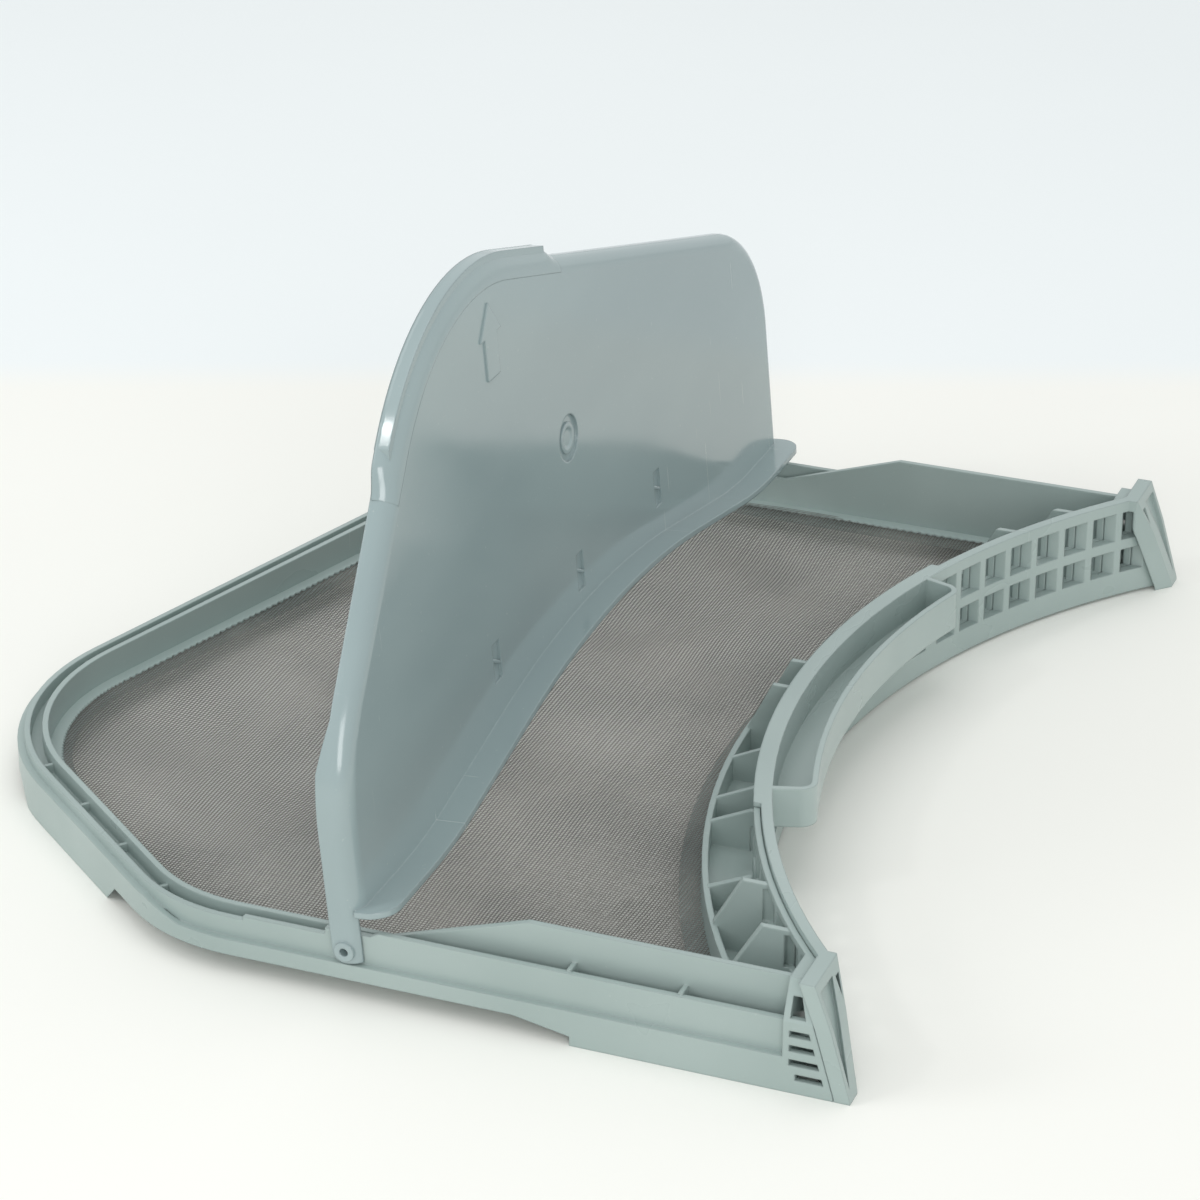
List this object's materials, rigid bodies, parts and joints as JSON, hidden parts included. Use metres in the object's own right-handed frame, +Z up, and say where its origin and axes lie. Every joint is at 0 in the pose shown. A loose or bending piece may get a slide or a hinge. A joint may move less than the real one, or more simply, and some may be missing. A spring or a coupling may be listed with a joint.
{
  "type": "tumble dryer lint filter",
  "caption": "Flat plastic filter frame with a woven screen, a concave slotted grille with a finger cup, and a hinged flap over the rear half.",
  "frame": {"origin": "centre of the overall box at its lowest level, the level that the frame stands on", "axes": "+X towards the concave grille and finger cup, +Y along the flap's hinge, +Z up"},
  "size_m": [0.2628, 0.3014, 0.1508],
  "materials": {
    "frame_plastic": "satin moulded plastic",
    "grille_plastic": "satin moulded plastic",
    "screen_weave": "open plain weave",
    "flap_plastic": "satin moulded plastic"
  },
  "bodies": {
    "frame_body": {"filter_frame": "frame_plastic", "front_grille": "grille_plastic", "lint_screen": "screen_weave"},
    "flap_body": {"flap_cover": "flap_plastic"}
  },
  "joints": [
    {"name": "flap_hinge", "type": "hinge", "parent": "frame_body", "child": "flap_body", "pos_m": [0.00357, 0, 0.0131], "axis": [0, 1, 0], "range_deg": [-85, 8]}
  ]
}
